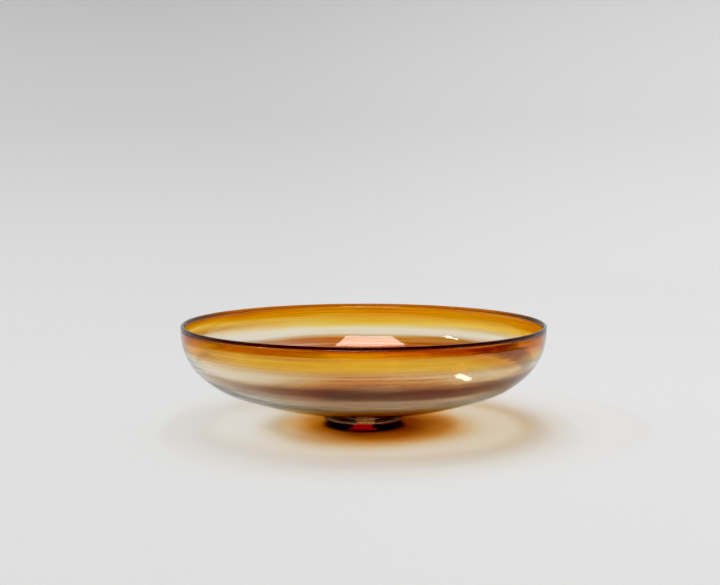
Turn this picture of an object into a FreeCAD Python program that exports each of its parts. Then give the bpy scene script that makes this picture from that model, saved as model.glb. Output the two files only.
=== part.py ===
import FreeCAD, Part
import math
import os
import Sketcher

# Art glass bowl: a wide shallow vessel of clear and amber glass on a small solid foot.
# Millimetres, +Z up. The origin is the centre of the face that the foot rests on.
# Every piece is one Body, turned about Z from a half section drawn in the XZ plane.
#
# The wall is built up as the glass is gathered: a thick clear inner layer, thin
# trails of colour wound round it, and a clear casing over both. The joint between
# the layers is parallel to the bowl's outside, and each trail is let into the casing.

# ---------------------------------------------------------------- driving dimensions
SIZES = {
    # outside of the bowl: three tangent arcs, from the axis up to the lip joint
    "base_height": 12.3,          # underside above the table, on the axis
    "base_arc": 358.0,            # radius of the shallow base, centred on the axis
    "base_reach": 123.0,          # distance from the axis where the base arc ends
    "shoulder_arc": 72.0,
    "upper_arc": 53.0,
    "wall_radius": 164.8,         # outside of the wall where the lip bead sits on it
    "wall_top": 91.5,             # height of that joint
    # inside of the bowl: three more arcs, so that the wall thins from base to lip
    "base_wall": 5.6,             # thickness on the axis
    "rim_wall": 2.6,              # thickness at the lip joint
    "inner_base_arc": 388.0,
    "inner_base_reach": 121.0,
    "inner_shoulder_arc": 68.0,
    "inner_upper_arc": 51.0,
    # layers
    "casing_wall": 1.1,           # clear casing over the colour
    "trail_wall": 0.5,            # thickness of a colour trail
    # colour trails: how far the base swirl reaches, and each band's two edges
    "swirl_reach": 78.0,
    "shoulder_trail_low": 53.0,
    "shoulder_trail_high": 61.0,
    "honey_trail_low": 71.0,
    "honey_trail_high": 85.0,
    "rim_trail_low": 86.0,
    "rim_trail_high": 90.5,
    # lip bead
    "bead_arc": 1.6,
    # button foot
    "foot_rest_radius": 29.0,     # outer edge of the flat resting ring
    "foot_edge_arc": 3.0,         # rounded bottom edge
    "foot_belly_radius": 38.0,    # widest part of the foot
    "foot_belly_height": 9.8,
    "foot_belly_arc": 5.0,
    "pontil_radius": 15.0,        # polished hollow left by the pontil rod
    "pontil_depth": 1.4,
    # red bit between foot and bowl
    "core_radius": 6.0,
    "core_depth": 3.4,
}

# each trail on the upper wall: node name, and its low and high edge in the sheet
WALL_TRAILS = [
    ("shoulder_amber_trail", "shoulder_trail_low", "shoulder_trail_high"),
    ("wall_honey_trail", "honey_trail_low", "honey_trail_high"),
    ("rim_amber_trail", "rim_trail_low", "rim_trail_high"),
]

# Sketcher's numbers for a point of a curve, and for the sketch's origin and axis
START, END, CENTRE = 1, 2, 3
ORIGIN, AXIS = -1, -2

doc = FreeCAD.newDocument("art_glass_bowl")
sheet = doc.addObject("Spreadsheet::Sheet", "Sizes")
for row, (alias, value) in enumerate(SIZES.items(), start=1):
    sheet.set(f"A{row}", alias)
    sheet.set(f"B{row}", str(value))
    sheet.setAlias(f"B{row}", alias)
doc.recompute()


def size(cells):
    """The value of a cell, or of a sum of cells such as "base_arc - casing_wall"."""
    value, sign = 0.0, 1
    for word in cells.split():
        if word in "+-":
            sign = -1 if word == "-" else 1
        else:
            value += sign * float(sheet.get(word))
    return value


# ---------------------------------------------------------------- plane geometry
# A point is (distance from the axis, height). An arc is (centre, radius, low, high),
# its two angles measured at the centre from straight down towards the outside.
def on_arc(centre, radius, angle):
    return centre[0] + radius * math.sin(angle), centre[1] - radius * math.cos(angle)


def angle_of(centre, point):
    return math.atan2(point[0] - centre[0], centre[1] - point[1])


def circles_meet(centre, radius, other, other_radius):
    """The crossing of two circles that lies to the left, looking from one to the other."""
    dx, dz = other[0] - centre[0], other[1] - centre[1]
    apart = math.hypot(dx, dz)
    along = (apart ** 2 + radius ** 2 - other_radius ** 2) / (2 * apart)
    across = math.sqrt(radius ** 2 - along ** 2)
    return (centre[0] + (along * dx - across * dz) / apart,
            centre[1] + (along * dz + across * dx) / apart)


def tangent_chain(axis_height, base_arc, base_reach, shoulder_arc, upper_arc, end):
    """Three tangent arcs that start level on the axis and finish at a given end."""
    base_centre = (0.0, axis_height + base_arc)
    base_end = math.asin(base_reach / base_arc)
    shoulder_centre = on_arc(base_centre, base_arc - shoulder_arc, base_end)
    upper_centre = circles_meet(end, upper_arc, shoulder_centre, shoulder_arc - upper_arc)
    shoulder_end = angle_of(shoulder_centre, upper_centre)
    return [(base_centre, base_arc, 0.0, base_end),
            (shoulder_centre, shoulder_arc, base_end, shoulder_end),
            (upper_centre, upper_arc, shoulder_end, angle_of(upper_centre, end))]


def angle_at_height(centre, radius, height):
    return math.acos((centre[1] - height) / radius)


OUTSIDE = tangent_chain(size("base_height"), size("base_arc"), size("base_reach"),
                        size("shoulder_arc"), size("upper_arc"),
                        (size("wall_radius"), size("wall_top")))
INSIDE = tangent_chain(size("base_height + base_wall"), size("inner_base_arc"),
                       size("inner_base_reach"), size("inner_shoulder_arc"),
                       size("inner_upper_arc"),
                       (size("wall_radius - rim_wall"), size("wall_top")))
BASE, SHOULDER, UPPER = range(3)


# ---------------------------------------------------------------- sketch helpers
def new_body(name):
    body = doc.addObject("PartDesign::Body", name)
    body.Label = name
    return body


def section_plane(body):
    return next(f for f in body.Origin.OriginFeatures if f.Role == "XZ_Plane")


def half_section(body, name):
    """An empty sketch on the body's own XZ plane."""
    sketch = body.newObject("Sketcher::SketchObject", name)
    sketch.AttachmentSupport = (section_plane(body), [""])
    sketch.MapMode = "FlatFace"
    return sketch


def bind(sketch, kind, *where, to):
    """Add a dimension and bind it to a cell or a sum of cells."""
    index = sketch.addConstraint(Sketcher.Constraint(kind, *where, size(to)))
    formula = " ".join(w if w in "+-" else f"Sizes.{w}" for w in to.split())
    sketch.setExpression(f"Constraints[{index}]", formula)


def fix(sketch, kind, *where):
    sketch.addConstraint(Sketcher.Constraint(kind, *where))


def add_arc(sketch, arc, construction=False):
    centre, radius, low, high = arc
    circle = Part.Circle(FreeCAD.Vector(*centre, 0), FreeCAD.Vector(0, 0, 1), radius)
    quarter = math.pi / 2
    return sketch.addGeometry(Part.ArcOfCircle(circle, low - quarter, high - quarter),
                              construction)


def join(sketch, first, first_point, second, second_point, smooth=()):
    """A straight line between two curve ends, tangent to those named as smooth."""
    ends = [sketch.getPoint(first, first_point), sketch.getPoint(second, second_point)]
    line = sketch.addGeometry(Part.LineSegment(*ends), False)
    for end, curve, point in ((START, first, first_point), (END, second, second_point)):
        kind = "Tangent" if curve in smooth else "Coincident"
        fix(sketch, kind, line, end, curve, point)
    return line


def turn(body, sketch, feature, name, degrees=360):
    """Revolve a half section about Z, as a solid or as a groove in the body."""
    turned = body.newObject(feature, name)
    turned.Profile = sketch
    turned.ReferenceAxis = (sketch, ["V_Axis"])
    turned.Angle = degrees
    return turned


def turn_thin_ring(body, sketch, name):
    """Revolve half a turn and mirror it, so no face of a very thin ring is a full turn."""
    half = turn(body, sketch, "PartDesign::Revolution", f"{name}_half", degrees=180)
    half.Refine = False
    ring = body.newObject("PartDesign::Mirrored", name)
    ring.Originals = [half]
    ring.MirrorPlane = (section_plane(body), [""])
    ring.Refine = False
    body.Tip = ring


# ---------------------------------------------------------------- shared outlines
def draw_outside(sketch, construction=False):
    """The bowl's outside: three tangent arcs, fully tied to the sheet."""
    base, shoulder, upper = [add_arc(sketch, arc, construction) for arc in OUTSIDE]
    fix(sketch, "PointOnObject", base, CENTRE, AXIS)
    fix(sketch, "PointOnObject", base, START, AXIS)
    fix(sketch, "Tangent", base, END, shoulder, START)
    fix(sketch, "Tangent", shoulder, END, upper, START)
    bind(sketch, "Radius", base, to="base_arc")
    bind(sketch, "Radius", shoulder, to="shoulder_arc")
    bind(sketch, "Radius", upper, to="upper_arc")
    bind(sketch, "DistanceY", ORIGIN, START, base, START, to="base_height")
    bind(sketch, "DistanceX", ORIGIN, START, base, END, to="base_reach")
    bind(sketch, "DistanceX", ORIGIN, START, upper, END, to="wall_radius")
    bind(sketch, "DistanceY", ORIGIN, START, upper, END, to="wall_top")
    return base, shoulder, upper


def draw_inside(sketch):
    """The bowl's inside, with its own radii, so that the wall thins upwards."""
    base, shoulder, upper = [add_arc(sketch, arc) for arc in INSIDE]
    fix(sketch, "PointOnObject", base, CENTRE, AXIS)
    fix(sketch, "PointOnObject", base, START, AXIS)
    fix(sketch, "Tangent", base, END, shoulder, START)
    fix(sketch, "Tangent", shoulder, END, upper, START)
    bind(sketch, "Radius", base, to="inner_base_arc")
    bind(sketch, "Radius", shoulder, to="inner_shoulder_arc")
    bind(sketch, "Radius", upper, to="inner_upper_arc")
    bind(sketch, "DistanceY", ORIGIN, START, base, START, to="base_height + base_wall")
    bind(sketch, "DistanceX", ORIGIN, START, base, END, to="inner_base_reach")
    bind(sketch, "DistanceX", ORIGIN, START, upper, END, to="wall_radius - rim_wall")
    bind(sketch, "DistanceY", ORIGIN, START, upper, END, to="wall_top")
    return base, shoulder, upper


def draw_layer_joint(sketch, outside):
    """Where the casing meets the inner layer: arcs about the outside's own centres."""
    arcs = [(centre, radius - size("casing_wall"), low, high)
            for centre, radius, low, high in OUTSIDE]
    centre, radius, low, _ = arcs[UPPER]
    arcs[UPPER] = centre, radius, low, angle_at_height(centre, radius, size("wall_top"))
    joint = [add_arc(sketch, arc) for arc in arcs]
    for own, outer in zip(joint, outside):
        fix(sketch, "Coincident", own, CENTRE, outer, CENTRE)
    fix(sketch, "PointOnObject", joint[BASE], START, AXIS)
    bind(sketch, "Radius", joint[BASE], to="base_arc - casing_wall")
    fix(sketch, "Tangent", joint[BASE], END, joint[SHOULDER], START)
    fix(sketch, "Tangent", joint[SHOULDER], END, joint[UPPER], START)
    bind(sketch, "DistanceY", ORIGIN, START, joint[UPPER], END, to="wall_top")
    return joint


def close_ends(sketch, inner, outer):
    """Join two outlines at their start and at their end."""
    join(sketch, inner[0], START, outer[0], START)
    join(sketch, inner[-1], END, outer[-1], END)


def draw_wall_trail(sketch, low_edge, high_edge):
    """Section of a trail on the upper wall, cut level at its two edges."""
    outside = draw_outside(sketch, construction=True)
    faces = []
    for cells in ("upper_arc - casing_wall", "upper_arc - casing_wall + trail_wall"):
        centre, radius = OUTSIDE[UPPER][0], size(cells)
        low = angle_at_height(centre, radius, size(low_edge))
        high = angle_at_height(centre, radius, size(high_edge))
        face = add_arc(sketch, (centre, radius, low, high))
        fix(sketch, "Coincident", face, CENTRE, outside[UPPER], CENTRE)
        bind(sketch, "Radius", face, to=cells)
        bind(sketch, "DistanceY", ORIGIN, START, face, START, to=low_edge)
        bind(sketch, "DistanceY", ORIGIN, START, face, END, to=high_edge)
        faces.append([face])
    close_ends(sketch, *faces)


def draw_swirl(sketch):
    """Section of the base swirl: a thin dished disc, cut upright at its edge."""
    outside = draw_outside(sketch, construction=True)
    faces = []
    for cells in ("base_arc - casing_wall", "base_arc - casing_wall + trail_wall"):
        centre, radius = OUTSIDE[BASE][0], size(cells)
        edge = math.asin(size("swirl_reach") / radius)
        face = add_arc(sketch, (centre, radius, 0.0, edge))
        fix(sketch, "Coincident", face, CENTRE, outside[BASE], CENTRE)
        fix(sketch, "PointOnObject", face, START, AXIS)
        bind(sketch, "Radius", face, to=cells)
        bind(sketch, "DistanceX", ORIGIN, START, face, END, to="swirl_reach")
        faces.append([face])
    close_ends(sketch, *faces)


def draw_core_bottom(sketch, outside):
    """Rounded bottom of the red bit, from the axis up to its edge on the bowl."""
    base_centre, base_radius = OUTSIDE[BASE][:2]
    edge = on_arc(base_centre, base_radius, math.asin(size("core_radius") / base_radius))
    bottom = size("base_height - core_depth")
    rise = edge[1] - bottom
    radius = (edge[0] ** 2 + rise ** 2) / (2 * rise)
    centre = (0.0, bottom + radius)
    cap = add_arc(sketch, (centre, radius, 0.0, angle_of(centre, edge)))
    fix(sketch, "PointOnObject", cap, CENTRE, AXIS)
    fix(sketch, "PointOnObject", cap, START, AXIS)
    bind(sketch, "DistanceY", ORIGIN, START, cap, START, to="base_height - core_depth")
    bind(sketch, "DistanceX", ORIGIN, START, cap, END, to="core_radius")
    fix(sketch, "PointOnObject", cap, END, outside[BASE])
    return cap


def draw_seat(sketch, outside, low, high):
    """A stretch of the bowl's underside between two angles at its centre."""
    centre, radius = OUTSIDE[BASE][:2]
    seat = add_arc(sketch, (centre, radius, low, high))
    fix(sketch, "Coincident", seat, CENTRE, outside[BASE], CENTRE)
    return seat


# ---------------------------------------------------------------- the bowl's layers
def make_inner_gather():
    """Clear inner layer, from the inside of the bowl out to the layer joint."""
    body = new_body("inner_gather")
    sketch = half_section(body, "inner_gather_section")
    joint = draw_layer_joint(sketch, draw_outside(sketch, construction=True))
    close_ends(sketch, draw_inside(sketch), joint)
    turn(body, sketch, "PartDesign::Revolution", "inner_gather_turned")
    return body


def make_outer_casing():
    """Clear casing, with a groove turned in it for each colour trail."""
    body = new_body("outer_casing")
    sketch = half_section(body, "casing_section")
    outside = draw_outside(sketch)
    close_ends(sketch, draw_layer_joint(sketch, outside), outside)
    turn(body, sketch, "PartDesign::Revolution", "casing_turned")
    seat = half_section(body, "swirl_seat_section")
    draw_swirl(seat)
    turn(body, seat, "PartDesign::Groove", "swirl_seat")
    for name, low_edge, high_edge in WALL_TRAILS:
        seat = half_section(body, f"{name}_seat_section")
        draw_wall_trail(seat, low_edge, high_edge)
        turn(body, seat, "PartDesign::Groove", f"{name}_seat")
    return body


def make_base_swirl():
    body = new_body("base_amber_swirl")
    sketch = half_section(body, "swirl_section")
    draw_swirl(sketch)
    turn(body, sketch, "PartDesign::Revolution", "swirl_turned")
    return body


def make_wall_trail(name, low_edge, high_edge):
    body = new_body(name)
    sketch = half_section(body, f"{name}_section")
    draw_wall_trail(sketch, low_edge, high_edge)
    turn_thin_ring(body, sketch, f"{name}_ring")
    return body


def make_lip_bead():
    """Round clear bead melted on to the level top of the wall."""
    body = new_body("lip_bead")
    sketch = half_section(body, "bead_section")
    top = size("wall_top")
    inner, outer = (size("wall_radius - rim_wall"), top), (size("wall_radius"), top)
    seat = sketch.addGeometry(Part.LineSegment(FreeCAD.Vector(*inner, 0),
                                               FreeCAD.Vector(*outer, 0)), False)
    fix(sketch, "Horizontal", seat)
    bind(sketch, "DistanceX", ORIGIN, START, seat, START, to="wall_radius - rim_wall")
    bind(sketch, "DistanceX", ORIGIN, START, seat, END, to="wall_radius")
    bind(sketch, "DistanceY", ORIGIN, START, seat, START, to="wall_top")
    radius = size("bead_arc")
    centre = circles_meet(inner, radius, outer, radius)
    corner = angle_of(centre, outer)
    crown = add_arc(sketch, (centre, radius, corner, 2 * math.pi - corner))
    fix(sketch, "Coincident", crown, START, seat, END)
    fix(sketch, "Coincident", crown, END, seat, START)
    bind(sketch, "Radius", crown, to="bead_arc")
    turn_thin_ring(body, sketch, "bead_ring")
    return body


# ---------------------------------------------------------------- the foot
def make_button_foot():
    """Solid foot: flat resting ring, rounded edge, sloping flank and belly."""
    body = new_body("button_foot")
    sketch = half_section(body, "foot_section")
    outside = draw_outside(sketch, construction=True)

    hollow_edge, depth = size("pontil_radius"), size("pontil_depth")
    hollow_radius = (hollow_edge ** 2 + depth ** 2) / (2 * depth)
    hollow_centre = (0.0, depth - hollow_radius)
    hollow = add_arc(sketch, (hollow_centre, hollow_radius,
                              angle_of(hollow_centre, (hollow_edge, 0.0)), math.pi))
    fix(sketch, "PointOnObject", hollow, CENTRE, AXIS)
    fix(sketch, "PointOnObject", hollow, START, ORIGIN)
    fix(sketch, "PointOnObject", hollow, END, AXIS)
    bind(sketch, "DistanceX", ORIGIN, START, hollow, START, to="pontil_radius")
    bind(sketch, "DistanceY", ORIGIN, START, hollow, END, to="pontil_depth")

    edge_centre = (size("foot_rest_radius"), size("foot_edge_arc"))
    belly_centre = (size("foot_belly_radius - foot_belly_arc"), size("foot_belly_height"))
    across = belly_centre[0] - edge_centre[0]
    rise = belly_centre[1] - edge_centre[1]
    flank_angle = (math.atan2(rise, across)
                   - math.asin(size("foot_belly_arc - foot_edge_arc") / math.hypot(across, rise)))
    base_centre, base_radius = OUTSIDE[BASE][:2]
    joint = circles_meet(base_centre, base_radius, belly_centre, size("foot_belly_arc"))

    edge = add_arc(sketch, (edge_centre, size("foot_edge_arc"), 0.0, flank_angle))
    belly = add_arc(sketch, (belly_centre, size("foot_belly_arc"), flank_angle,
                             angle_of(belly_centre, joint)))
    join(sketch, edge, END, belly, START, smooth=(edge, belly))
    resting_ring = join(sketch, hollow, START, edge, START, smooth=(edge,))
    fix(sketch, "Horizontal", resting_ring)
    bind(sketch, "DistanceX", ORIGIN, START, edge, START, to="foot_rest_radius")
    bind(sketch, "Radius", edge, to="foot_edge_arc")
    bind(sketch, "DistanceX", ORIGIN, START, belly, CENTRE,
         to="foot_belly_radius - foot_belly_arc")
    bind(sketch, "DistanceY", ORIGIN, START, belly, CENTRE, to="foot_belly_height")
    bind(sketch, "Radius", belly, to="foot_belly_arc")

    core = draw_core_bottom(sketch, outside)
    core_edge = math.asin(size("core_radius") / base_radius)
    seat = draw_seat(sketch, outside, core_edge, angle_of(base_centre, joint))
    fix(sketch, "Coincident", seat, START, core, END)
    fix(sketch, "Coincident", seat, END, belly, END)
    join(sketch, hollow, END, core, START)
    turn(body, sketch, "PartDesign::Revolution", "foot_turned")
    return body


def make_red_core():
    """Red bit of glass, a small dome hanging under the middle of the bowl."""
    body = new_body("red_core")
    sketch = half_section(body, "core_section")
    outside = draw_outside(sketch, construction=True)
    core = draw_core_bottom(sketch, outside)
    core_edge = math.asin(size("core_radius") / size("base_arc"))
    seat = draw_seat(sketch, outside, 0.0, core_edge)
    fix(sketch, "PointOnObject", seat, START, AXIS)
    fix(sketch, "Coincident", seat, END, core, END)
    join(sketch, core, START, seat, START)
    turn(body, sketch, "PartDesign::Revolution", "core_turned")
    return body


# ---------------------------------------------------------------- build and write
pieces = [make_inner_gather(), make_base_swirl()]
pieces += [make_wall_trail(*trail) for trail in WALL_TRAILS]
pieces += [make_outer_casing(), make_lip_bead(), make_red_core(), make_button_foot()]
doc.recompute()

failed = [item.Name for item in doc.Objects
          if "Invalid" in item.State or "Error" in item.State]
if failed:
    raise RuntimeError(f"objects that did not build: {failed}")
for piece in pieces:
    if piece.Shape.isNull() or not piece.Shape.isValid() or len(piece.Shape.Solids) != 1:
        raise RuntimeError(f"{piece.Label} is not one sound solid")

os.makedirs("parts", exist_ok=True)
for piece in pieces:
    piece.Shape.exportStep(f"parts/{piece.Label}.step")
    box = piece.Shape.optimalBoundingBox()
    print(f"{piece.Label:22} {piece.Shape.Volume / 1000:8.2f} cm3"
          f"  radius {box.XMax:7.2f}  height {box.ZMin:6.2f} to {box.ZMax:6.2f}")
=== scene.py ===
import math

import bpy
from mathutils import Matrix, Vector


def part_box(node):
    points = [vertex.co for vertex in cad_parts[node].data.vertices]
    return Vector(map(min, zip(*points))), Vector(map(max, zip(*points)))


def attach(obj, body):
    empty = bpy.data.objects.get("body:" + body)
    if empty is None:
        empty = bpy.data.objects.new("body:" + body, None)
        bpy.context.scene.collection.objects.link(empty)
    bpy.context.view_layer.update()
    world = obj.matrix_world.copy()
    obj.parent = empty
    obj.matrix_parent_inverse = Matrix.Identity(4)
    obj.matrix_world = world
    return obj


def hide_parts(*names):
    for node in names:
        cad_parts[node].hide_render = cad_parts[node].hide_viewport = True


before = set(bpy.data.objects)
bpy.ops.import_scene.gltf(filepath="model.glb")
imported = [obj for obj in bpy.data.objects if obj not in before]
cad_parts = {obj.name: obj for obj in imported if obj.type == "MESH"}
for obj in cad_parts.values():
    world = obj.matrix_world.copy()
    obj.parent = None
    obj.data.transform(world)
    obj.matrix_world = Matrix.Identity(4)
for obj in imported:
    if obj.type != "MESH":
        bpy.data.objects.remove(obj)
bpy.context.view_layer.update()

# Art glass bowl, in metres. The bowl's wall, its lip, the foot and the red bit under the
# bowl are closed skins turned about Z. Where two of them are fused, both have a joint face
# there that light goes straight through; it is clear, but on the wall it is tinted amber,
# deepened with painted shade.

MM = 0.001
BODY = "root"
AROUND = 288                      # steps round the axis
GLASS, JOINT = 0, 1               # material slots of every skin
SAME_PLACE = 0.001 * MM           # points nearer than this are one point

# ---------------------------------------------------------------- sizes from the frame
CASING_LOW, CASING_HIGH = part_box("outer_casing")
BEAD_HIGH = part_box("lip_bead")[1]
FOOT_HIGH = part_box("button_foot")[1]
CORE_LOW, CORE_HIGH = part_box("red_core")

BASE_HEIGHT = CASING_LOW.z        # underside of the bowl, on the axis
WALL_TOP = CASING_HIGH.z          # where the lip sits on the wall
RIM_RADIUS = BEAD_HIGH.x
CORE_RADIUS = CORE_HIGH.x

# sizes that no box shows, as in the CAD model
WALL_RADIUS = 164.8 * MM          # outside of the wall at the lip joint
RIM_WALL = 2.6 * MM               # thickness of the wall there
BASE_WALL = 5.6 * MM              # thickness on the axis
OUTER_ARCS = {"base": 358.0 * MM, "reach": 123.0 * MM,
              "shoulder": 72.0 * MM, "upper": 53.0 * MM}
INNER_ARCS = {"base": 388.0 * MM, "reach": 121.0 * MM,
              "shoulder": 68.0 * MM, "upper": 51.0 * MM}
BEAD_ARC = 1.6 * MM
FOOT_REST = 29.0 * MM
FOOT_EDGE_ARC = 3.0 * MM
FOOT_BELLY_ARC = 5.0 * MM
FOOT_BELLY_HEIGHT = 9.8 * MM
PONTIL_RADIUS = 15.0 * MM
PONTIL_DEPTH = 1.4 * MM
CORE_GAP = 0.15 * MM              # keeps the red bit's skin off the foot's joint face

# steps along each arc of a half section
JOINT_STEPS = 8
BASE_STEPS = 34
SHOULDER_STEPS = 14
UPPER_STEPS = 24
BEAD_STEPS = 20
HOLLOW_STEPS = 8
FOOT_EDGE_STEPS = 6
FOOT_BELLY_STEPS = 14
CORE_STEPS = 12


# ---------------------------------------------------------------- half sections
# A point is (distance from the axis, height). An angle is measured at an arc's centre,
# from straight down towards the outside.
def on_arc(centre, radius, angle):
    return centre[0] + radius * math.sin(angle), centre[1] - radius * math.cos(angle)


def angle_of(centre, point):
    return math.atan2(point[0] - centre[0], centre[1] - point[1])


def circles_meet(centre, radius, other, other_radius):
    """The crossing of two circles on the left, looking from one centre to the other."""
    dx, dz = other[0] - centre[0], other[1] - centre[1]
    apart = math.hypot(dx, dz)
    along = (apart ** 2 + radius ** 2 - other_radius ** 2) / (2 * apart)
    across = math.sqrt(radius ** 2 - along ** 2)
    return (centre[0] + (along * dx - across * dz) / apart,
            centre[1] + (along * dz + across * dx) / apart)


def arc_line(centre, radius, start, end, steps):
    return [on_arc(centre, radius, start + (end - start) * step / steps)
            for step in range(steps + 1)]


def bowl_arcs(axis_height, arcs, end):
    """The bowl's three tangent arcs from the axis to an end: (centre, radius, from, to)."""
    base_centre = (0.0, axis_height + arcs["base"])
    base_end = math.asin(arcs["reach"] / arcs["base"])
    shoulder_centre = on_arc(base_centre, arcs["base"] - arcs["shoulder"], base_end)
    upper_centre = circles_meet(end, arcs["upper"], shoulder_centre,
                                arcs["shoulder"] - arcs["upper"])
    shoulder_end = angle_of(shoulder_centre, upper_centre)
    return [(base_centre, arcs["base"], 0.0, base_end),
            (shoulder_centre, arcs["shoulder"], base_end, shoulder_end),
            (upper_centre, arcs["upper"], shoulder_end, angle_of(upper_centre, end))]


OUTSIDE = bowl_arcs(BASE_HEIGHT, OUTER_ARCS, (WALL_RADIUS, WALL_TOP))
INSIDE = bowl_arcs(BASE_HEIGHT + BASE_WALL, INNER_ARCS, (WALL_RADIUS - RIM_WALL, WALL_TOP))
FOOT_BELLY = (FOOT_HIGH.x - FOOT_BELLY_ARC, FOOT_BELLY_HEIGHT)
FOOT_JOINT = circles_meet(OUTSIDE[0][0], OUTER_ARCS["base"], FOOT_BELLY, FOOT_BELLY_ARC)


def bowl_line(arcs, joint_radius=0.0):
    """Points along the bowl's outside or inside, from the axis up to the lip joint."""
    base, shoulder, upper = arcs
    split = math.asin(joint_radius / base[1])
    line = [on_arc(*base[:2], 0.0)]
    if joint_radius:
        line = arc_line(*base[:2], 0.0, split, JOINT_STEPS)
    line += arc_line(*base[:2], split, base[3], BASE_STEPS)[1:]
    line += arc_line(*shoulder, SHOULDER_STEPS)[1:]
    return line + arc_line(*upper, UPPER_STEPS)[1:]


# ---------------------------------------------------------------- skins
def turned_skin(name, line, slots):
    """A closed skin from a half section that starts and ends on the axis, or is a loop."""
    verts, rings = [], []
    for radius, height in line:
        if radius < SAME_PLACE:
            rings.append([len(verts)])
            verts.append((0.0, 0.0, height))
            continue
        ring = []
        for step in range(AROUND):
            angle = 2 * math.pi * step / AROUND
            ring.append(len(verts))
            verts.append((radius * math.cos(angle), radius * math.sin(angle), height))
        rings.append(ring)
    faces, face_slots = [], []
    pairs = list(zip(rings, rings[1:]))
    if len(rings[0]) > 1:
        pairs.append((rings[-1], rings[0]))
    for (lower, upper), slot in zip(pairs, slots):
        for step in range(AROUND):
            following = (step + 1) % AROUND
            if len(lower) == 1:
                faces.append((lower[0], upper[following], upper[step]))
            elif len(upper) == 1:
                faces.append((lower[step], lower[following], upper[0]))
            else:
                faces.append((lower[step], lower[following], upper[following], upper[step]))
            face_slots.append(slot)
    mesh = bpy.data.meshes.new(name)
    mesh.from_pydata(verts, [], faces)
    mesh.polygons.foreach_set("material_index", face_slots)
    mesh.polygons.foreach_set("use_smooth", [True] * len(faces))
    mesh.update()
    skin = bpy.data.objects.new(name, mesh)
    bpy.context.collection.objects.link(skin)
    return skin


def skin_line(*stretches):
    """Joins (points, slot) stretches into one line and a slot for each step along it."""
    line, slots = [], []
    for points, slot in stretches:
        shared = bool(line) and math.dist(line[-1], points[0]) < SAME_PLACE
        if line and not shared:
            slots.append(slot)
        line += points[1:] if shared else points
        slots += [slot] * (len(points) - 1)
    return line, slots


def make_bowl_wall():
    outside = bowl_line(OUTSIDE, FOOT_JOINT[0])
    inside = bowl_line(INSIDE)
    joint, rest = outside[:JOINT_STEPS + 1], outside[JOINT_STEPS:]
    line, slots = skin_line((joint, JOINT), (rest, GLASS),
                            ([outside[-1], inside[-1]], JOINT), (inside[::-1], GLASS))
    return turned_skin("bowl_wall", line, slots)


def make_lip():
    centre = (BEAD_HIGH.x - BEAD_ARC, BEAD_HIGH.z - BEAD_ARC)
    outer_edge = angle_of(centre, (WALL_RADIUS, WALL_TOP))
    crown = arc_line(centre, BEAD_ARC, outer_edge, 2 * math.pi - outer_edge, BEAD_STEPS)
    return turned_skin("lip_glass", crown, [GLASS] * BEAD_STEPS + [JOINT])


def make_foot():
    hollow_arc = (PONTIL_RADIUS ** 2 + PONTIL_DEPTH ** 2) / (2 * PONTIL_DEPTH)
    hollow_centre = (0.0, PONTIL_DEPTH - hollow_arc)
    hollow_end = math.asin(PONTIL_RADIUS / hollow_arc)
    edge_centre = (FOOT_REST, FOOT_EDGE_ARC)
    apart = math.dist(edge_centre, FOOT_BELLY)
    slope = math.atan2(FOOT_BELLY[1] - edge_centre[1], FOOT_BELLY[0] - edge_centre[0])
    flank = slope - math.asin((FOOT_BELLY_ARC - FOOT_EDGE_ARC) / apart)
    belly_end = angle_of(FOOT_BELLY, FOOT_JOINT)
    hollow = arc_line(hollow_centre, hollow_arc, math.pi, math.pi - hollow_end, HOLLOW_STEPS)
    edge = arc_line(edge_centre, FOOT_EDGE_ARC, 0.0, flank, FOOT_EDGE_STEPS)
    belly = arc_line(FOOT_BELLY, FOOT_BELLY_ARC, flank, belly_end, FOOT_BELLY_STEPS)
    joint = bowl_line(OUTSIDE, FOOT_JOINT[0])[:JOINT_STEPS + 1]
    line, slots = skin_line((hollow + [(FOOT_REST, 0.0)] + edge + belly, GLASS),
                            (joint[::-1], JOINT))
    return turned_skin("foot_glass", line, slots)


def make_red_core():
    top = BASE_HEIGHT - CORE_GAP
    bottom = CORE_LOW.z
    rise = top - bottom
    arc = (CORE_RADIUS ** 2 + rise ** 2) / (2 * rise)
    centre = (0.0, bottom + arc)
    cap = arc_line(centre, arc, 0.0, math.asin(CORE_RADIUS / arc), CORE_STEPS)
    line = cap + [(0.0, top)]
    return turned_skin("red_bit", line, [GLASS] * (len(line) - 1))


# ---------------------------------------------------------------- nodes
def node(tree, kind, inputs=(), **settings):
    """Adds a node; inputs is a dict of socket name or number to a value or another socket."""
    made = tree.nodes.new(kind)
    for key, value in settings.items():
        setattr(made, key, value)
    for key, value in dict(inputs).items():
        if isinstance(value, bpy.types.NodeSocket):
            tree.links.new(value, made.inputs[key])
        else:
            made.inputs[key].default_value = value
    return made


def maths(tree, operation, *values):
    made = node(tree, "ShaderNodeMath", dict(enumerate(values)), operation=operation)
    return made.outputs[0]


def colour_ramp(tree, place, stops):
    made = node(tree, "ShaderNodeValToRGB", {0: place})
    elements = made.color_ramp.elements
    while len(elements) > 1:
        elements.remove(elements[-1])
    for index, (position, colour) in enumerate(stops):
        stop = elements[0] if index == 0 else elements.new(position)
        stop.position = position
        stop.color = (*colour, 1.0)
    return made.outputs[0]


def grey_stops(table, reach):
    """Ramp stops for a table of greys whose marks run from 0 to reach."""
    return [(mark / reach, (grey, grey, grey)) for mark, grey in table]


def object_parts(tree):
    """X, Y and Z of the place being shaded, measured in the object."""
    spot = node(tree, "ShaderNodeTexCoord").outputs["Object"]
    return node(tree, "ShaderNodeSeparateXYZ", {0: spot}).outputs


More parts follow.
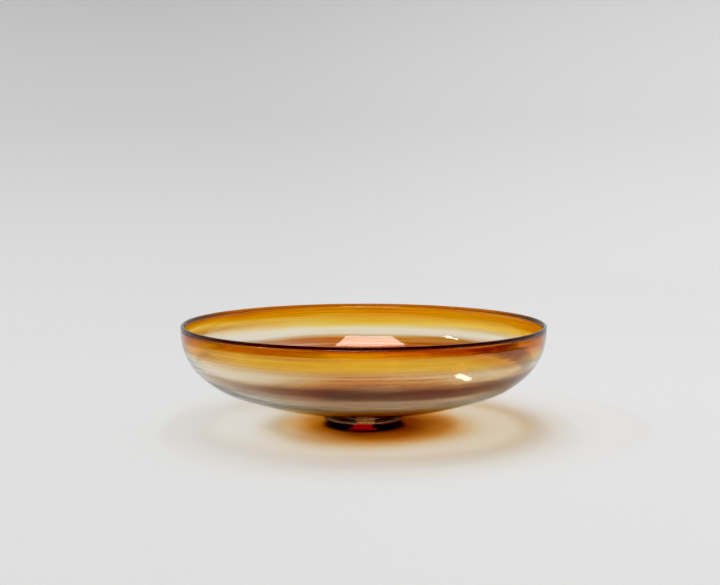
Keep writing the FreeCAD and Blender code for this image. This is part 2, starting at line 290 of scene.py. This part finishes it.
def from_axis(tree, parts):
    """The level arrow from the axis to the place being shaded, and its length."""
    flat = node(tree, "ShaderNodeCombineXYZ", {"X": parts["X"], "Y": parts["Y"]}).outputs[0]
    outward = node(tree, "ShaderNodeVectorMath", {0: flat}, operation="LENGTH").outputs["Value"]
    return flat, outward


def new_material(name):
    material = bpy.data.materials.new(name)
    material.use_nodes = True
    tree = material.node_tree
    tree.nodes.clear()
    output = node(tree, "ShaderNodeOutputMaterial")
    return material, tree, output


# ---------------------------------------------------------------- colour of the glass
# How much light one pass through the glass lets by.
CORE = (0.26, 0.048, 0.002)
AMBER = (0.50, 0.14, 0.002)
TAWNY = (0.74, 0.34, 0.04)
SAND = (0.84, 0.62, 0.34)
STRAW = (0.90, 0.77, 0.60)
PALE = (0.96, 0.93, 0.86)
SMOKE = (0.66, 0.58, 0.42)
ORANGE = (0.65, 0.155, 0.008)
BROWN = (0.26, 0.08, 0.009)
CREAM = (1.0, 0.90, 0.70)
GOLD = (1.0, 0.68, 0.09)
HONEY = (0.96, 0.50, 0.02)
RUST = (0.84, 0.29, 0.0)
EMBER = (0.72, 0.20, 0.0)
SAFFRON = (1.0, 0.62, 0.015)
TAN = (0.80, 0.50, 0.20)
DARK_RIM = (0.46, 0.08, 0.0)
# The bands of the wall on four sides, by distance up the wall from the middle of its
# underside, in millimetres: outward distance plus height gained. The lip is at 243.
BANDS = {
    "back": [(0, CORE), (45, CORE), (64, AMBER), (80, TAWNY), (96, SAND), (112, STRAW),
             (158, STRAW), (172, TAWNY), (182, ORANGE), (198, ORANGE), (204, TAWNY),
             (208.5, CREAM), (215, CREAM), (221, GOLD), (231, HONEY), (238, RUST),
             (242, EMBER)],
    "right": [(0, CORE), (50, CORE), (80, AMBER), (96, TAWNY), (110, SAND), (126, STRAW),
              (158, STRAW), (170, SAND), (180, TAN), (186, BROWN), (203, BROWN),
              (208, SAND), (214, CREAM), (220, SAND), (224, GOLD), (229, HONEY),
              (233, EMBER), (240, EMBER), (243, DARK_RIM)],
    "front": [(0, CORE), (52, CORE), (72, AMBER), (88, TAWNY), (106, SAND), (128, STRAW),
              (160, STRAW), (178, STRAW), (184, BROWN), (197, BROWN), (204, SAND),
              (208, CREAM), (217, CREAM), (220, SAND), (223.5, GOLD), (227, SAFFRON),
              (234, SAFFRON), (236.5, EMBER), (243, EMBER)],
    "left": [(0, CORE), (30, CORE), (46, AMBER), (62, TAWNY), (84, SAND), (95, SMOKE),
             (106, STRAW), (120, PALE), (182, PALE), (192, STRAW), (200, SMOKE),
             (206, PALE), (220, CREAM), (225, TAN), (229, TAWNY), (233, HONEY),
             (238, EMBER), (242, DARK_RIM)],
}
BAND_REACH = 250.0
# How deeply the wall colours the light that it lets into a shadow, by the same distance.
# A depth of 1 is the colour of the glass, and a depth of 0 is clear.
SHADES = [(0, 0.6), (140, 0.55), (170, 0.4), (182, 0.25), (188, 0.18), (202, 0.18),
          (212, 0.30), (243, 0.30)]

GLASS_IOR = 1.5
# Noise in rings: turn sets how much it changes round the bowl, and step how far apart its
# changes are up the wall, in millimetres.
DRIFT = {"turn": 1.3, "step": 40.0}
DRIFT_WIDTH = 10.0                # how far the bands wander up and down the wall, in mm
STREAK = {"turn": 1.3, "step": 2.6, "detail": 3.0}
STREAK_GAIN = 2.6                 # depth of colour = gain * streak + start, but never
STREAK_START = -0.3               # less than the least
STREAK_LEAST = 0.25
RIPPLE = {"turn": 1.6, "step": 2.6, "detail": 1.0}
RIPPLE_HEIGHT = 0.05 * MM
# The lip is orange-brown at the back; its near black round the front and the sides is
# painted shade, and its shine is dimmed to keep it dark. Its stops are places behind the axis,
# as a share of the rim's radius.
LIP_COLOURS_WITH_PAINTED_SHADE = [(0.25, (0.07, 0.016, 0.004)), (0.65, (0.60, 0.16, 0.008))]
LIP_SHADE = 0.3
LIP_SHINE = (0.10, 0.07, 0.06, 1.0)
# The foot's dark grey is painted shade: clear glass darkened to look as dark as the shade seen
# through it.
FOOT_PAINTED_SHADE_COLOURS = [(0.3, (0.20, 0.165, 0.145)), (0.7, (0.184, 0.1518, 0.1334))]
FOOT_NOISE = 60.0
FOOT_SHADE = 2.0
# The joint faces are tinted deeper than the wall's amber alone: the extra is painted shade that
# darkens the foot.
JOINT_AMBER_AND_SHADE_DEPTH = 2.0                 # how deeply the wall's joint faces are tinted
RED_COLOURS = [(0.35, (0.75, 0.02, 0.01)), (0.7, (0.9, 0.06, 0.02))]
RED_NOISE = 700.0
RED_ROUGHNESS = 0.25
# The red bit's glow is painted light, so that it shows through the dark foot.
RED_PAINTED_GLOW = (0.75, 0.01, 0.005, 1.0)
RED_PAINTED_GLOW_STRENGTH = 0.8


def wall_place(tree):
    """Distance up the wall in millimetres, as above, and the direction from the axis."""
    parts = object_parts(tree)
    flat, outward = from_axis(tree, parts)
    gained = maths(tree, "SUBTRACT", parts["Z"], BASE_HEIGHT)
    place = maths(tree, "DIVIDE", maths(tree, "ADD", outward, gained), MM)
    facing = node(tree, "ShaderNodeVectorMath", {0: flat}, operation="NORMALIZE").outputs[0]
    return place, facing


def side_shares(tree, facing):
    """How much a place belongs to each of the four sides; the four add up to one."""
    parts = node(tree, "ShaderNodeSeparateXYZ", {0: facing}).outputs
    shares = {}
    for side, axis, sign in (("back", "Y", 1.0), ("front", "Y", -1.0),
                             ("right", "X", 1.0), ("left", "X", -1.0)):
        towards = maths(tree, "MAXIMUM", maths(tree, "MULTIPLY", parts[axis], sign), 0.0)
        shares[side] = maths(tree, "POWER", towards, 2.0)
    return shares


def ring_noise(tree, place, facing, turn, step, detail=2.0):
    """Noise from 0 to 1 that is drawn out into rings round the bowl."""
    round_it = node(tree, "ShaderNodeVectorMath", {0: facing, 3: turn}, operation="SCALE")
    parts = node(tree, "ShaderNodeSeparateXYZ", {0: round_it.outputs[0]}).outputs
    up = maths(tree, "DIVIDE", place, step)
    spot = node(tree, "ShaderNodeCombineXYZ", {"X": parts["X"], "Y": parts["Y"], "Z": up})
    noise = node(tree, "ShaderNodeTexNoise", {
        "Vector": spot.outputs[0], "Scale": 1.0, "Detail": detail})
    return noise.outputs["Fac"]


def band_colour(tree, place, facing):
    """The colours of the four sides' bands, mixed by the shares of the sides."""
    where = maths(tree, "DIVIDE", place, BAND_REACH)
    total = None
    for side, share in side_shares(tree, facing).items():
        stops = [(mark / BAND_REACH, colour) for mark, colour in BANDS[side]]
        part = node(tree, "ShaderNodeVectorMath", {
            0: colour_ramp(tree, where, stops), 3: share}, operation="SCALE").outputs[0]
        total = part if total is None else node(
            tree, "ShaderNodeVectorMath", {0: total, 1: part}, operation="ADD").outputs[0]
    return total


def tinted_glass(tree, output, colour, shade, **settings):
    """Glass to the camera, and a plain tinted sheet to shadows and to light off the floor."""
    glass = node(tree, "ShaderNodeBsdfPrincipled", {
        "Base Color": colour, "Roughness": 0.0, "IOR": GLASS_IOR, "Transmission Weight": 1.0,
        **settings}).outputs[0]
    one_side = node(tree, "ShaderNodeGamma", {0: colour, 1: shade}).outputs[0]
    sheet = node(tree, "ShaderNodeBsdfTransparent", {0: one_side}).outputs[0]
    ray = node(tree, "ShaderNodeLightPath").outputs
    seen = node(tree, "ShaderNodeMixShader",
                {0: ray["Is Diffuse Ray"], 1: glass, 2: sheet}).outputs[0]
    both = node(tree, "ShaderNodeMixShader",
                {0: ray["Is Shadow Ray"], 1: seen, 2: sheet}).outputs[0]
    tree.links.new(both, output.inputs["Surface"])


def wall_material():
    material, tree, output = new_material("amber_wall_glass")
    place, facing = wall_place(tree)
    drift = maths(tree, "SUBTRACT", ring_noise(tree, place, facing, **DRIFT), 0.5)
    place_drifted = maths(tree, "ADD", place, maths(tree, "MULTIPLY", drift, DRIFT_WIDTH))
    colour = band_colour(tree, place_drifted, facing)
    streak = ring_noise(tree, place, facing, **STREAK)
    depth = maths(tree, "ADD", maths(tree, "MULTIPLY", streak, STREAK_GAIN), STREAK_START)
    depth = maths(tree, "MAXIMUM", depth, STREAK_LEAST)
    colour = node(tree, "ShaderNodeGamma", {0: colour, 1: depth}).outputs[0]
    ripple = ring_noise(tree, place, facing, **RIPPLE)
    bump = node(tree, "ShaderNodeBump", {
        "Height": ripple, "Strength": 1.0, "Distance": RIPPLE_HEIGHT}).outputs[0]
    shade = colour_ramp(tree, maths(tree, "DIVIDE", place, BAND_REACH),
                        grey_stops(SHADES, BAND_REACH))
    tinted_glass(tree, output, colour, shade, Normal=bump)
    return material


def lip_material():
    # the lip's dark front and sides are painted shade
    material, tree, output = new_material("lip_glass_painted_dark_front")
    behind = maths(tree, "DIVIDE", object_parts(tree)["Y"], RIM_RADIUS)
    colour = colour_ramp(tree, behind, LIP_COLOURS_WITH_PAINTED_SHADE)
    tinted_glass(tree, output, colour, LIP_SHADE, **{"Specular Tint": LIP_SHINE})
    return material


def foot_material():
    # the foot's dark colour is painted shade
    material, tree, output = new_material("foot_glass_painted_dark")
    noise = node(tree, "ShaderNodeTexNoise", {"Scale": FOOT_NOISE}).outputs["Fac"]
    tinted_glass(tree, output, colour_ramp(tree, noise, FOOT_PAINTED_SHADE_COLOURS), FOOT_SHADE)
    return material


def clear_joint_material():
    """Nothing at all to see, so one glass runs on into the next."""
    material, tree, output = new_material("fused_joint")
    clear = node(tree, "ShaderNodeBsdfPrincipled", {"Alpha": 0.0, "Roughness": 0.0}).outputs[0]
    tree.links.new(clear, output.inputs["Surface"])
    return material


def tinted_joint_material():
    """The wall's amber on its joint faces, deepened with painted shade that darkens the foot."""
    material, tree, output = new_material("fused_amber_joint")
    place, facing = wall_place(tree)
    colour = band_colour(tree, place, facing)
    deep = node(tree, "ShaderNodeGamma", {0: colour, 1: JOINT_AMBER_AND_SHADE_DEPTH}).outputs[0]
    sheet = node(tree, "ShaderNodeBsdfTransparent", {0: deep}).outputs[0]
    tree.links.new(sheet, output.inputs["Surface"])
    return material


def red_material():
    """Red with a painted glow of its own, so that it shows through the foot's painted dark."""
    material, tree, output = new_material("red_glass_bit")
    noise = node(tree, "ShaderNodeTexNoise", {"Scale": RED_NOISE}).outputs["Fac"]
    red = node(tree, "ShaderNodeBsdfPrincipled", {
        "Base Color": colour_ramp(tree, noise, RED_COLOURS), "Roughness": RED_ROUGHNESS,
        "Emission Color": RED_PAINTED_GLOW, "Emission Strength": RED_PAINTED_GLOW_STRENGTH}).outputs[0]
    tree.links.new(red, output.inputs["Surface"])
    return material


# ---------------------------------------------------------------- the studio
SWEEP_FLOOR = 1.5
SWEEP_CURVE = 0.9
SWEEP_TOP = 2.4
SWEEP_STEPS = 24
FLOOR_GAP = 0.1 * MM              # keeps the floor off the foot's resting face
# how pale the paper is, by distance from the axis plus height: painted light and shade that
# brighten and darken the sweep as the light on it would
PAPER_WITH_PAINTED_LIGHT = [(0.0, 0.71), (0.8, 0.71), (1.5, 0.75), (2.1, 0.735), (2.65, 0.72), (3.15, 0.80),
         (4.8, 0.57)]
PAPER_REACH = SWEEP_FLOOR + SWEEP_CURVE + SWEEP_TOP
BOUNCED_LOSS = 0.8                # share of its paleness that bounced light doesn't find
# The flag is a black card that goes round the front, from the back left to the back right: a
# painted dark reflection.
FLAG_RADIUS = 0.46
FLAG_HEIGHT = 0.16
FLAG_START = math.radians(135)
FLAG_END = math.radians(405)
FLAG_STEPS = 48
FLAG_CLEAR = 0.7 * FLAG_RADIUS    # clear from this far behind the axis backwards
FLAG_SOLID = -0.2 * FLAG_RADIUS   # solid from just ahead of the axis forwards
FLAG_BLACK = (0.01, 0.01, 0.01, 1.0)
# The key is the wide soft light from above, and the side lamp throws the shadow to the
# right. The glint and the spark are panels that only reflections see.
KEY = {"place": (-0.3, 0.0, 5.0), "target": (-0.3, 0.0, 0.0), "sides": (2.5, 4.4),
       "radiance": 7.0}
GLINT = {"place": (-0.27, -1.3, 4.8), "target": (-0.27, -1.3, 0.0), "sides": (2.3, 2.4),
         "radiance": 9.0}
SPARK = {"place": (0.141, -0.147, 0.002), "target": (0.141, -0.147, 1.0),
         "sides": (0.017, 0.036), "radiance": 13.0, "colour": (1.0, 0.93, 0.78)}
SIDE = {"place": (-4.55, -0.64, 3.9), "target": (0.0, 0.0, 0.05), "sides": (1.2, 1.2),
        "radiance": 33.0}
ROOM_LIGHT = 0.32
WHITE = (1.0, 1.0, 1.0, 1.0)
CAMERA_PLACE = (-0.0032, -1.032, 0.2173)
CAMERA_DIP = 0.093                # radians below level
CAMERA_LENS = 57.02               # focal length and sensor width in millimetres
CAMERA_SENSOR = 36.0


def stage_material():
    """Pale paper with painted light and shade along it; light that has already left it once
    finds it darker, so shadows stay deep.
    """
    material, tree, output = new_material("pale_sweep")
    parts = object_parts(tree)
    flat, outward = from_axis(tree, parts)
    along = maths(tree, "DIVIDE", maths(tree, "ADD", outward, parts["Z"]), PAPER_REACH)
    # the paleness along the sweep is painted light and shade
    shade = colour_ramp(tree, along, grey_stops(PAPER_WITH_PAINTED_LIGHT, PAPER_REACH))
    bounced = node(tree, "ShaderNodeLightPath").outputs["Is Diffuse Ray"]
    kept = maths(tree, "SUBTRACT", 1.0, maths(tree, "MULTIPLY", bounced, BOUNCED_LOSS))
    shade = node(tree, "ShaderNodeVectorMath", {0: shade, 3: kept}, operation="SCALE").outputs[0]
    paper = node(tree, "ShaderNodeBsdfDiffuse", {"Color": shade}).outputs[0]
    tree.links.new(paper, output.inputs["Surface"])
    return material


def make_stage():
    line = [(0.0, -FLOOR_GAP), (SWEEP_FLOOR / 2, -FLOOR_GAP)]
    line += arc_line((SWEEP_FLOOR, SWEEP_CURVE - FLOOR_GAP), SWEEP_CURVE, 0.0, math.pi / 2,
                     SWEEP_STEPS)
    line.append((SWEEP_FLOOR + SWEEP_CURVE, SWEEP_TOP))
    sweep = turned_skin("sweep", line, [0] * (len(line) - 1))
    sweep.data.materials.append(stage_material())


def seen_only_in_reflections(thing):
    thing.visible_camera = False
    thing.visible_diffuse = False
    thing.visible_transmission = False
    thing.visible_volume_scatter = False
    thing.visible_shadow = False


def flag_material():
    material, tree, output = new_material("black_card")
    solid = node(tree, "ShaderNodeMapRange", {
        "Value": object_parts(tree)["Y"], "From Min": FLAG_CLEAR, "From Max": FLAG_SOLID})
    card = node(tree, "ShaderNodeBsdfDiffuse", {"Color": FLAG_BLACK}).outputs[0]
    clear = node(tree, "ShaderNodeBsdfTransparent").outputs[0]
    faded = node(tree, "ShaderNodeMixShader", {0: solid.outputs[0], 1: clear, 2: card})
    tree.links.new(faded.outputs[0], output.inputs["Surface"])
    return material


def make_flag():
    """A black card round the camera side, fading out at its ends: a painted dark reflection,
    which only reflections see.
    """
    turns = [FLAG_START + (FLAG_END - FLAG_START) * step / FLAG_STEPS
             for step in range(FLAG_STEPS + 1)]
    verts = [(FLAG_RADIUS * math.cos(turn), FLAG_RADIUS * math.sin(turn), height)
             for height in (0.0, FLAG_HEIGHT) for turn in turns]
    faces = [(step, step + 1, step + FLAG_STEPS + 2, step + FLAG_STEPS + 1)
             for step in range(FLAG_STEPS)]
    mesh = bpy.data.meshes.new("flag")
    mesh.from_pydata(verts, [], faces)
    flag = bpy.data.objects.new("flag", mesh)
    bpy.context.collection.objects.link(flag)
    mesh.materials.append(flag_material())
    seen_only_in_reflections(flag)


def area_light(name, place, target, sides, radiance, colour=(1.0, 1.0, 1.0)):
    """A rectangular panel that faces its target; radiance is power over pi and the area."""
    lamp = bpy.data.lights.new(name, "AREA")
    lamp.shape = "RECTANGLE"
    lamp.size, lamp.size_y = sides
    lamp.energy = radiance * math.pi * sides[0] * sides[1]
    lamp.color = colour
    light = bpy.data.objects.new(name, lamp)
    light.location = place
    towards = Vector(target) - Vector(place)
    light.rotation_euler = towards.to_track_quat("-Z", "Y").to_euler()
    bpy.context.collection.objects.link(light)
    return light


def make_lights():
    key = area_light("key", **KEY)
    key.visible_glossy = False
    seen_only_in_reflections(area_light("glint", **GLINT))
    seen_only_in_reflections(area_light("spark", **SPARK))
    area_light("side", **SIDE)
    world = bpy.data.worlds.new("room")
    world.use_nodes = True
    bpy.context.scene.world = world
    tree = world.node_tree
    tree.nodes.clear()
    sky = node(tree, "ShaderNodeBackground", {0: WHITE, 1: ROOM_LIGHT}).outputs[0]
    tree.links.new(sky, node(tree, "ShaderNodeOutputWorld").inputs["Surface"])


def make_camera():
    lens = bpy.data.cameras.new("camera")
    lens.lens = CAMERA_LENS
    lens.sensor_width = CAMERA_SENSOR
    camera = bpy.data.objects.new("camera", lens)
    camera.location = CAMERA_PLACE
    camera.rotation_euler = (math.pi / 2 - CAMERA_DIP, 0.0, 0.0)
    bpy.context.collection.objects.link(camera)
    bpy.context.scene.camera = camera


# ---------------------------------------------------------------- putting it together
BLACK_LEVEL = (0.01, 0.01, 0.01)  # this much light comes out as black


def place_piece(piece, glass, joint, slot, *nodes):
    piece.data.materials.append(glass)
    piece.data.materials.append(joint)
    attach(piece, BODY)
    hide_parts(*nodes)


make_camera()
make_stage()
make_flag()
make_lights()
clear_joint = clear_joint_material()
place_piece(make_bowl_wall(), wall_material(), tinted_joint_material(), "amber_glass",
            "inner_gather", "outer_casing", "base_amber_swirl",
            "shoulder_amber_trail", "wall_honey_trail", "rim_amber_trail")
place_piece(make_lip(), lip_material(), clear_joint, "clear_glass", "lip_bead")
place_piece(make_foot(), foot_material(), clear_joint, "clear_glass", "button_foot")
place_piece(make_red_core(), red_material(), clear_joint, "red_glass", "red_core")

scene = bpy.context.scene
scene.view_settings.view_transform = "Standard"
scene.view_settings.use_curve_mapping = True
scene.view_settings.curve_mapping.black_level = BLACK_LEVEL
# light passes many surfaces on its way through both sides of the bowl
scene.cycles.transparent_max_bounces = 32
scene.cycles.max_bounces = 24
scene.cycles.transmission_bounces = 20
